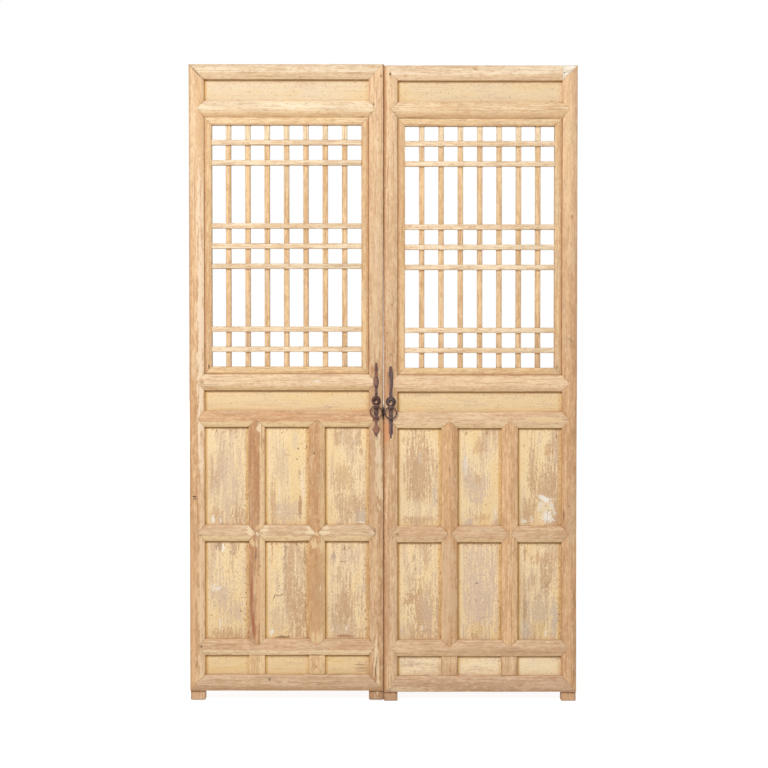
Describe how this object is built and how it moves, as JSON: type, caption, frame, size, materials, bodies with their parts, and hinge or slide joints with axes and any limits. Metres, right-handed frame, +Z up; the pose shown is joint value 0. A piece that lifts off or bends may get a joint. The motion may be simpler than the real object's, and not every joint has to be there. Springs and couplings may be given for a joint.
{
  "type": "double door",
  "caption": "Pair of antique wooden door leaves with an open lattice light above plain inset panels, pointed rail joints and iron ring pulls, hung on hidden butt hinges.",
  "frame": {"origin": "middle of the door's width and depth, at the bottom of the right leaf's feet", "axes": "+Z up, +X to the right of someone facing the front, front facing -Y"},
  "size_m": [1.292, 0.0778, 2.126],
  "materials": {
    "stile_wood": "dry, worn and waxed softwood, warm tan",
    "rail_wood": "dry, worn softwood, tan with a pinkish cast",
    "muntin_wood": "worn softwood, rubbed brown along the middle",
    "panel_paint": "pale yellow wash worn through to grey-brown wood",
    "lattice_wood": "honey-coloured softwood, planed",
    "patch_wood": "newer pale softwood",
    "pull_iron": "forged iron, brown with rust",
    "hinge_iron": "dark forged iron"
  },
  "bodies": {
    "hinge_fixings": {"frame_hinges": "hinge_iron"},
    "left_leaf": {"left_hanging_stile": "stile_wood", "left_meeting_stile": "stile_wood", "left_top_rail": "rail_wood", "left_frieze_rail": "rail_wood", "left_sill_rail": "rail_wood", "left_waist_rail": "rail_wood", "left_lower_rail": "rail_wood", "left_bottom_rail": "rail_wood", "left_cross_rails": "rail_wood", "left_outer_muntin": "muntin_wood", "left_inner_muntin": "muntin_wood", "left_base_muntins": "muntin_wood", "left_frieze_panel": "panel_paint", "left_belt_panel": "panel_paint", "left_upper_panels": "panel_paint", "left_lower_panels": "panel_paint", "left_base_panels": "panel_paint", "left_lattice_outer_jamb": "lattice_wood", "left_lattice_inner_jamb": "lattice_wood", "left_lattice_head": "lattice_wood", "left_lattice_foot": "lattice_wood", "left_lattice_uprights": "lattice_wood", "left_lattice_bars": "lattice_wood", "left_pull_plate": "pull_iron", "left_pull_knob": "pull_iron", "left_pull_nails": "pull_iron", "left_hinge_plates": "hinge_iron", "left_hinge_screws": "hinge_iron"},
    "left_ring": {"left_pull_ring": "pull_iron"},
    "right_leaf": {"right_hanging_stile": "stile_wood", "right_meeting_stile": "stile_wood", "right_top_rail": "rail_wood", "right_frieze_rail": "rail_wood", "right_sill_rail": "rail_wood", "right_waist_rail": "rail_wood", "right_lower_rail": "rail_wood", "right_bottom_rail": "rail_wood", "right_cross_rails": "rail_wood", "right_outer_muntin": "muntin_wood", "right_inner_muntin": "muntin_wood", "right_base_muntins": "muntin_wood", "right_frieze_panel": "panel_paint", "right_belt_panel": "panel_paint", "right_upper_panels": "panel_paint", "right_lower_panels": "panel_paint", "right_base_panels": "panel_paint", "right_lattice_outer_jamb": "lattice_wood", "right_lattice_inner_jamb": "lattice_wood", "right_lattice_head": "lattice_wood", "right_lattice_foot": "lattice_wood", "right_lattice_uprights": "lattice_wood", "right_lattice_bars": "lattice_wood", "right_pull_plate": "pull_iron", "right_pull_knob": "pull_iron", "right_pull_nails": "pull_iron", "right_hinge_plates": "hinge_iron", "right_hinge_screws": "hinge_iron", "right_corner_patch": "patch_wood"},
    "right_ring": {"right_pull_ring": "pull_iron"}
  },
  "joints": [
    {"name": "left_leaf_swing", "type": "hinge", "parent": "hinge_fixings", "child": "left_leaf", "pos_m": [-0.6405, 0.03288, 1], "axis": [0, 0, -1], "range_deg": [0, 90]},
    {"name": "right_leaf_swing", "type": "hinge", "parent": "hinge_fixings", "child": "right_leaf", "pos_m": [0.6405, 0.03288, 1], "axis": [0, 0, 1], "range_deg": [0, 90]},
    {"name": "left_ring_swing", "type": "hinge", "parent": "left_leaf", "child": "left_ring", "pos_m": [-0.0235, -0.03138, 0.991], "axis": [-1, 0, 0], "range_deg": [-7, 150]},
    {"name": "right_ring_swing", "type": "hinge", "parent": "right_leaf", "child": "right_ring", "pos_m": [0.02525, -0.03138, 0.987], "axis": [-1, 0, 0], "range_deg": [-7, 150]}
  ]
}
